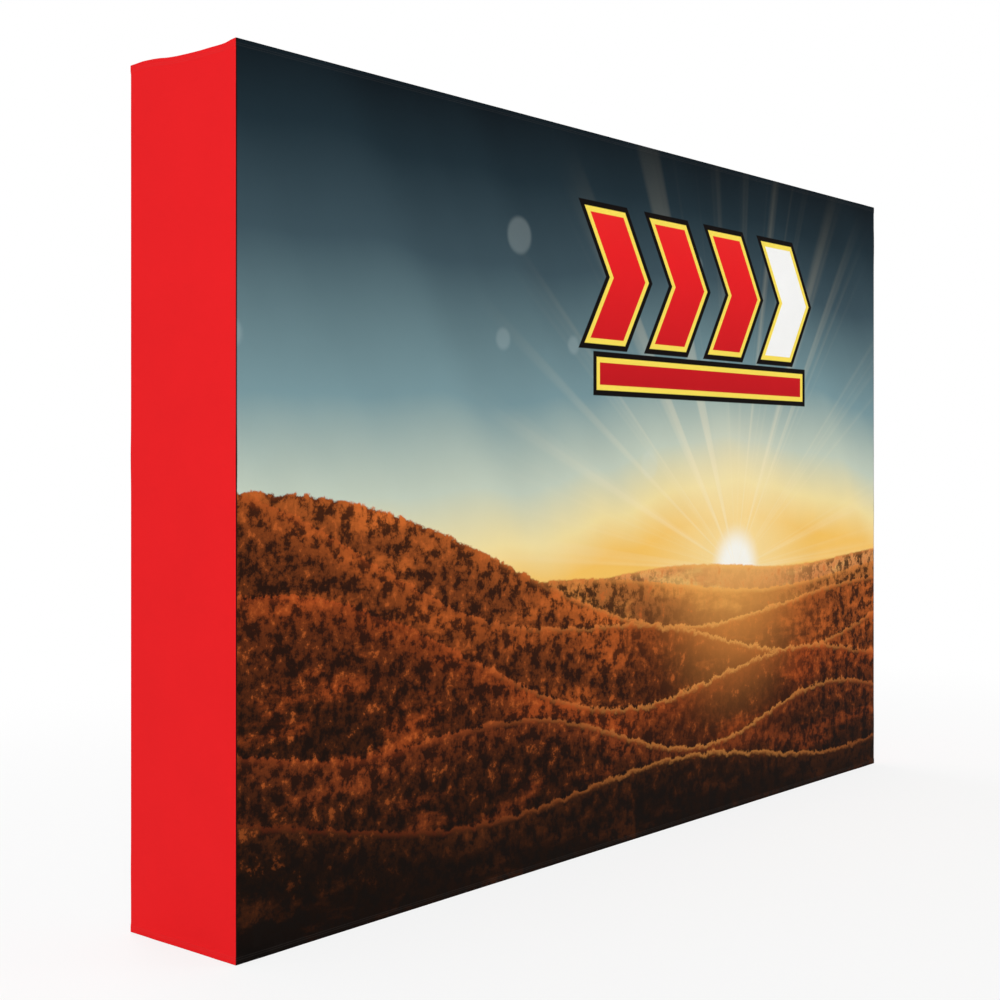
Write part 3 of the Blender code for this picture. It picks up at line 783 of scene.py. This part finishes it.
def moulding(line, profile, holes=()):
    """The points and faces of a closed form, with its line in the first two axes and its depth in the third.

    The line is carried through the steps of the profile, each a distance out along the line's outward
    directions and a depth. Each hole is a line with its own profile, which starts at the last depth. A
    hole that ends at the first depth goes through, and any other hole has a floor.
    """
    rings, faces, count = [], [], 0
    top_loops, bottom_loops = [], []
    for number, ((base, out), steps) in enumerate([(line, profile), *holes]):
        reach, depth = np.array(steps).T
        flat = base[None] + out[None] * reach[:, None, None]
        ring = np.concatenate([flat, np.broadcast_to(depth[:, None, None], (*flat.shape[:2], 1))], -1)
        faces += (grid_faces(len(steps), len(base), wrap_columns=True) + count).tolist()
        first = np.arange(len(base)) + count
        last = first + len(base) * (len(steps) - 1)
        through = number > 0 and math.isclose(depth[-1], profile[0][1], abs_tol=1e-6)
        top_loops.append(last if number == 0 else first)
        if number == 0 or through:
            bottom_loops.append(first if number == 0 else last)
        else:
            faces.append(last.tolist())
        rings.append(ring.reshape(-1, 3))
        count += ring.shape[0] * ring.shape[1]
    points = np.concatenate(rings)
    for loops in (top_loops, bottom_loops):
        order = np.concatenate(loops)
        outlines = [[Vector(point) for point in points[loop]] for loop in loops]
        faces += [order[list(corner)].tolist() for corner in tessellate_polygon(outlines)]
    return points, faces


def together(*forms):
    """Several forms as one: their points in a row, and their faces renumbered."""
    points, faces, count = [], [], 0
    for form_points, form_faces in forms:
        points.append(np.asarray(form_points, float).reshape(-1, 3))
        faces += [[corner + count for corner in face] for face in form_faces]
        count += len(points[-1])
    return np.concatenate(points), faces


block_quarter = [
    (BLOCK_REACH, BLOCK_CHAMFER - BLOCK_REACH),
    (BLOCK_REACH, HALF_SPREAD - SLOT_HALF),
    (SLOT_BOTTOM, HALF_SPREAD - SLOT_HALF),
    (SLOT_BOTTOM, HALF_SPREAD + SLOT_HALF),
    (BLOCK_REACH, HALF_SPREAD + SLOT_HALF),
    (BLOCK_REACH, BLOCK_REACH - BLOCK_CHAMFER),
]
square = np.array([(1, -1), (1, 1), (-1, 1), (-1, -1)])
seat = (round_line(square[::-1] * SEAT_WIDTH / 2, SEAT_CORNER, 6), SEAT_STEPS)
plate_form = moulding(round_line(square * HUB / 2, PLATE_CORNER, 9), PLATE_STEPS, [seat])
pocket_line, pocket_out = round_line(np.array(POCKET)[::-1] / 1000, POCKET_CORNER, 4)
pockets = [(line, POCKET_STEPS) for line in zip(quarters(pocket_line), quarters(pocket_out))]
block_line = round_line(np.concatenate(quarters(block_quarter)), BLOCK_CORNER, 3)
block_form = moulding(block_line, BLOCK_STEPS, pockets)
post_form = moulding(round_bar(POST_RADIUS, 32), POST_STEPS, [(round_bar(SOCKET_RADIUS, 32), SOCKET_STEPS)])
hub_form = together(plate_form, block_form, post_form)

# The small pieces of each hub: four zinc-plated steel pins pressed in across the slots, a nickel-plated
# magnet in the end of the post, and a pad of black hook tape stuck in the plate's seat.
PIN_RADIUS = 0.002
PIN_STEPS = ((-0.0004, -0.0055), (0, -0.0052), (0, 0.0052), (-0.0004, 0.0055))
MAGNET_RADIUS = 0.0042
MAGNET_STEPS = ((0, 0.1246), (0, 0.1264), (-0.0001, 0.12665), (-0.0004, 0.1268), (-0.0007, 0.12685))
PAD_GAP = 0.0008
PAD_CORNER = 0.007
PAD_STEPS = ((0, SEAT_FLOOR), (0, -0.0149), (-0.0002, -0.0151), (-0.0006, -0.0152))

pin_points, pin_faces = moulding(round_bar(PIN_RADIUS, 20), PIN_STEPS)
pin_points = pin_points + (PIN_REACH, 0, HALF_SPREAD)
pin_flats = quarters(pin_points[:, [0, 2]])
pins_form = together(*[(np.column_stack([flat, pin_points[:, 1]]), pin_faces) for flat in pin_flats])
magnet_form = moulding(round_bar(MAGNET_RADIUS, 32), MAGNET_STEPS)
pad_form = moulding(round_line(square * (SEAT_WIDTH / 2 - PAD_GAP), PAD_CORNER, 6), PAD_STEPS)

# Edge wear: a mask of the sharp outer edges, broken up by noise.
wear, given, result = new_group("edge_wear", ("Amount", "Scale"), {"Mask": "NodeSocketFloat"})
pointed = add_node(wear, "ShaderNodeNewGeometry").outputs["Pointiness"]
rubbed = noise(wear, given["Place"], given["Scale"], 5.0, 0.65)
edges = maths(wear, "MULTIPLY", step_between(wear, pointed, 0.51, 0.6), step_between(wear, rubbed, 0.4, 0.7))
wear.links.new(maths(wear, "MULTIPLY", edges, given["Amount"]), result["Mask"])

nylon, tree, surface = surface_of("black_nylon", {})
place = frame_place(tree)
grain = noise(tree, place, 1500.0, 3.0)
shade = ramp(tree, noise(tree, place, 45.0, 4.0), [(0.3, paint(30, 30, 32)), (0.7, paint(42, 42, 44))])
worn = add_node(tree, "ShaderNodeGroup", {"Place": place, "Amount": 0.5, "Scale": 220.0}, node_tree=wear)
shade = mix_colours(tree, worn.outputs["Mask"], shade, paint(96, 96, 98))
tree.links.new(shade, surface.inputs["Base Color"])
tree.links.new(maths(tree, "MULTIPLY_ADD", grain, 0.22, 0.38), surface.inputs["Roughness"])
raise_surface(tree, surface, grain, 0.0001, 0.35)


def plated_metal(name, scale, detail, dark, light, roughness_gain, least_roughness):
    """A bare metal whose shade and roughness follow one fine noise."""
    material, tree, surface = surface_of(name, {"Metallic": 1.0})
    cloudy = noise(tree, frame_place(tree), scale, detail)
    tree.links.new(ramp(tree, cloudy, [(0.3, dark), (0.7, light)]), surface.inputs["Base Color"])
    roughness = maths(tree, "MULTIPLY_ADD", cloudy, roughness_gain, least_roughness)
    tree.links.new(roughness, surface.inputs["Roughness"])
    return material


zinc_shades = (paint(176, 180, 184), paint(206, 207, 208))
plated_steel = plated_metal("zinc_plated_steel", 320.0, 4.0, *zinc_shades, 0.3, 0.2)
nickel_shades = (paint(196, 190, 180), paint(222, 217, 208))
nickel = plated_metal("nickel_plate", 700.0, 5.0, *nickel_shades, 0.35, 0.06)

hook_tape, tree, surface = surface_of("hook_tape", {"Roughness": 0.85})
hook_inputs = {"Vector": frame_place(tree), "Scale": 900.0, "Randomness": 0.6}
hooks_field = add_node(tree, "ShaderNodeTexVoronoi", hook_inputs).outputs["Distance"]
# The colour is lighter on the raised hooks and darker in the gaps between them, as the bump is: painted
# highlight on the hooks and painted shade between them.
shade = ramp(tree, hooks_field, [(0.0, paint(58, 58, 60)), (0.6, paint(18, 18, 19))])
tree.links.new(shade, surface.inputs["Base Color"])
raise_surface(tree, surface, hooks_field, 0.0006, invert=True)


def hub_place(column, row, side):
    """The middle of a hub on its pin plane, as in the frame."""
    depth = DEPTH / 2 if side == "rear" else -DEPTH / 2
    return np.array([(column - COLUMNS / 2) * QUAD, depth, HUB / 2 + row * QUAD])


bodies = frame["record"]["behaviour"]["bodies"]
body_of = {node: body for body, nodes in bodies.items() for node in nodes}
letters = "abcd"
hub_pieces = [
    ("moulding", hub_form, nylon, "black_moulded_plastic"),
    ("pins", pins_form, plated_steel, None),
    ("magnet", magnet_form, nickel, None),
    ("hook_pad", pad_form, hook_tape, None),
]
for column, row, side in itertools.product(range(COLUMNS + 1), range(ROWS + 1), ("front", "rear")):
    hub = f"{side}_hub_{letters[column]}{row + 1}"
    facing = (-1, -1, 1) if side == "rear" else (1, 1, 1)
    for kind, (points, faces), material, slot in hub_pieces:
        laid = points[:, [0, 2, 1]] * facing + hub_place(column, row, side)
        piece = make_piece(f"{hub}_{kind}", laid, faces, [material], 35)
        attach(piece, body_of[hub])
        if slot:
            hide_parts(hub)


# The crossed tubes: drawn aluminium, silver anodised. A flat is pressed for the rivet at the middle, and
# each end is crimped on to a moulded tongue with two dimples. The tongue turns on its hub's pin.
TUBE_LENGTH = math.hypot(QUAD - 2 * PIN_REACH, DEPTH)
TUBE_OUTER = 0.0056
TUBE_WALL = 0.001
TUBE_SIDES = 24
END_RINGS = (0, 0.0001, 0.0003, 0.0006, 0.0015, 0.003)
END_ROLL = 0.0006
END_ROLL_DEPTH = 0.0005
CRIMP_PLACES = (0.0255, 0.0325)
CRIMP_REACH = 0.0024
CRIMP_WIDTH = 0.0014
CRIMP_DEPTH = 0.0007
PLAIN_START = 0.038
PLAIN_END_GAP = 0.016
FLAT_REACH = 0.014
FLAT_WIDTH = 0.006
FLAT_DEPTH = 0.0005
TONGUE_LENGTH = 0.020
TONGUE_HALF = 0.003
EYE_RADIUS = 0.0046
EYE_HOLE = 0.0027
TONGUE_STEPS = (
    (-0.0005, -TONGUE_HALF),
    (-0.0001, -0.0028),
    (0, -0.0024),
    (0, 0.0024),
    (-0.0001, 0.0028),
    (-0.0005, TONGUE_HALF),
)
EYE_STEPS = ((0.0003, TONGUE_HALF), (0, 0.0026), (0, -0.0026), (0.0003, -TONGUE_HALF))
COLLAR_RADIUS = 0.0057
COLLAR_RIM_STEPS = ((-0.0016, 0.0158), (-0.0006, 0.0164), (-0.0001, 0.0172), (0, 0.018), (0, 0.0196))
COLLAR_PLUG_STEPS = ((-0.0002, 0.0199), (-0.0013, 0.0199), (-0.0013, 0.0285), (-0.0018, 0.0290))


def barrel():
    """The tube along x from its first pin, its faces, and its length and turn at each point.

    Each ring is a circle whose radius drops in a round dimple above and below at each crimp. Its height
    is held to a flat by the rivet, which fades out 12 mm away. The ends are rolled in by a quarter
    circle, and the inner wall comes back 1 mm inside.
    """
    half = TUBE_LENGTH / 2
    ends = TONGUE_LENGTH + np.array(END_RINGS)
    crimps = [place + np.linspace(-CRIMP_REACH, CRIMP_REACH, 9) for place in CRIMP_PLACES]
    near = np.concatenate([ends, *crimps, np.linspace(PLAIN_START, half - PLAIN_END_GAP, 12)])
    middle = [np.linspace(-FLAT_REACH, 0, 9), np.linspace(0, FLAT_REACH, 9)[1:]]
    along = np.concatenate([near, np.concatenate(middle) + half, TUBE_LENGTH - near[::-1]])
    turn = (np.arange(TUBE_SIDES) + 0.5) * math.tau / TUBE_SIDES
    from_end = np.minimum(along, TUBE_LENGTH - along)
    rolled = np.clip((from_end - TONGUE_LENGTH) / END_ROLL, 0, 1)
    radius = (TUBE_OUTER - END_ROLL_DEPTH * (1 - np.sqrt(1 - (1 - rolled) ** 2)))[:, None]
    around = TUBE_OUTER * np.arccos(np.abs(np.sin(turn)))[None]
    for place in CRIMP_PLACES:
        far = np.hypot((from_end - place)[:, None], around)
        radius = radius - CRIMP_DEPTH * np.exp(-((far / CRIMP_WIDTH) ** 2))
    limit = TUBE_OUTER - FLAT_DEPTH * np.exp(-(((along - half) / FLAT_WIDTH) ** 4))[:, None]
    height = np.clip(radius * np.sin(turn)[None], -limit, limit)
    outer = np.stack([np.broadcast_to(along[:, None], height.shape), radius * np.cos(turn)[None], height], -1)
    shrink = (TUBE_OUTER - TUBE_WALL) / TUBE_OUTER
    points = np.concatenate([outer, outer[::-1] * (1, shrink, shrink)])
    faces = grid_faces(len(points), TUBE_SIDES, wrap_rows=True, wrap_columns=True)
    laid = np.stack(np.broadcast_arrays(points[..., 0], turn * TUBE_OUTER, 0), -1)
    return points.reshape(-1, 3), faces.tolist(), laid


barrel_points, barrel_faces, barrel_laid = barrel()
eye_turn = np.linspace(math.pi / 2, math.pi * 1.5, 17)
eye_out = np.stack([np.cos(eye_turn), np.sin(eye_turn)], -1)
shank_end = TONGUE_LENGTH - 0.001
tongue_line = np.concatenate([eye_out * EYE_RADIUS, [(shank_end, -EYE_RADIUS), (shank_end, EYE_RADIUS)]])
tongue_out = np.concatenate([eye_out, [(0, -1), (0, 1)]])
eye_line, eye_line_out = round_bar(EYE_HOLE, 20)
eye_hole = ((eye_line[::-1], eye_line_out[::-1]), EYE_STEPS)
tongue_form = moulding((tongue_line, tongue_out), TONGUE_STEPS, [eye_hole])
collar_points, collar_faces = moulding(round_bar(COLLAR_RADIUS, 28), COLLAR_RIM_STEPS + COLLAR_PLUG_STEPS)
end_points, end_faces = together(tongue_form, (collar_points[:, [2, 0, 1]], collar_faces))
other_end_points = end_points * (-1, 1, 1) + (TUBE_LENGTH, 0, 0)
tongues_form = together((end_points, end_faces), (other_end_points, end_faces))

# The rivets: semi-tubular, plated steel. Each goes through both tubes of a pair, and stays fixed in one.
RIVET_RADIUS = 0.0016
RIVET_HEAD_STEPS = (
    (-0.0012, -0.01875),
    (0.0007, -0.0187),
    (0.0015, -0.0184),
    (0.0019, -0.0179),
    (0.0020, -0.0173),
    (0, -0.0172),
)
RIVET_ROLL_STEPS = (
    (0, 0.0054),
    (0.0020, 0.0055),
    (0.0020, 0.0058),
    (0.0017, 0.0064),
    (0.0010, 0.0069),
    (0.0001, 0.0072),
    (-0.0010, 0.00735),
)

rivet_points, rivet_faces = moulding(round_bar(RIVET_RADIUS, 24), RIVET_HEAD_STEPS + RIVET_ROLL_STEPS)
rivet_points = rivet_points + (TUBE_LENGTH / 2, 0, 0)

# The anodised skin shows the fine lines of the drawing along each tube, and faint smudges.
anodised, tree, surface = surface_of("silver_anodised_aluminium", {"Metallic": 1.0})
on_tube = add_node(tree, "ShaderNodeAttribute", attribute_name="on_tube").outputs["Vector"]
stretch_inputs = {0: on_tube, 1: (3.0, 900.0, 1.0)}
drawn = add_node(tree, "ShaderNodeVectorMath", stretch_inputs, operation="MULTIPLY").outputs[0]
lines = noise(tree, drawn, 2.0, 4.0, dimensions="2D")
smudge = noise(tree, on_tube, 26.0, 3.0, dimensions="2D")
mottled = maths(tree, "MULTIPLY_ADD", smudge, 0.5, maths(tree, "MULTIPLY", lines, 0.5))
shade = ramp(tree, mottled, [(0.3, paint(178, 180, 184)), (0.7, paint(206, 207, 210))])
tree.links.new(shade, surface.inputs["Base Color"])
tree.links.new(maths(tree, "MULTIPLY_ADD", lines, 0.2, 0.3), surface.inputs["Roughness"])
raise_surface(tree, surface, lines, 0.00003, 0.4)

# Each pair, across or up: the way to its far hubs, the sides it starts and ends on, the way that its
# offset from the pin plane's middle faces, and whether it carries the rivet.
pair_kinds = [
    ((1, 0), "front", "rear", (0, 0, 1), True),
    ((1, 0), "rear", "front", (0, 0, -1), False),
    ((0, 1), "front", "rear", (-1, 0, 0), True),
    ((0, 1), "rear", "front", (1, 0, 0), False),
]
tube_pieces = [
    ("barrel", barrel_points, barrel_faces, anodised, "anodised_aluminium"),
    ("tongues", *tongues_form, nylon, "black_moulded_plastic"),
    ("rivet", rivet_points, rivet_faces, plated_steel, None),
]
for column, row, kind in itertools.product(range(COLUMNS + 1), range(ROWS + 1), pair_kinds):
    (right, up), start_side, end_side, outward, holds_rivet = kind
    if column + right > COLUMNS or row + up > ROWS:
        continue
    start_hub = f"{letters[column]}{row + 1}_{start_side}"
    end_hub = f"{letters[column + right]}{row + up + 1}_{end_side}"
    tube = f"tube_{start_hub}_to_{end_hub}"
    to_pin = np.array([right, 0, up]) * PIN_REACH
    beside = np.array(outward) * HALF_SPREAD
    start = hub_place(column, row, start_side) + to_pin + beside
    end = hub_place(column + right, row + up, end_side) - to_pin + beside
    along = (end - start) / np.linalg.norm(end - start)
    axes = np.array([along, np.cross(outward, along), outward])
    for part, points, faces, material, slot in tube_pieces:
        if part == "rivet" and not holds_rivet:
            continue
        piece = make_piece(f"{tube}_{part}", points @ axes + start, faces, [material], 35)
        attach(piece, body_of[tube])
        if part == "barrel":
            keep_on_points(piece, "on_tube", barrel_laid)
            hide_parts(tube)


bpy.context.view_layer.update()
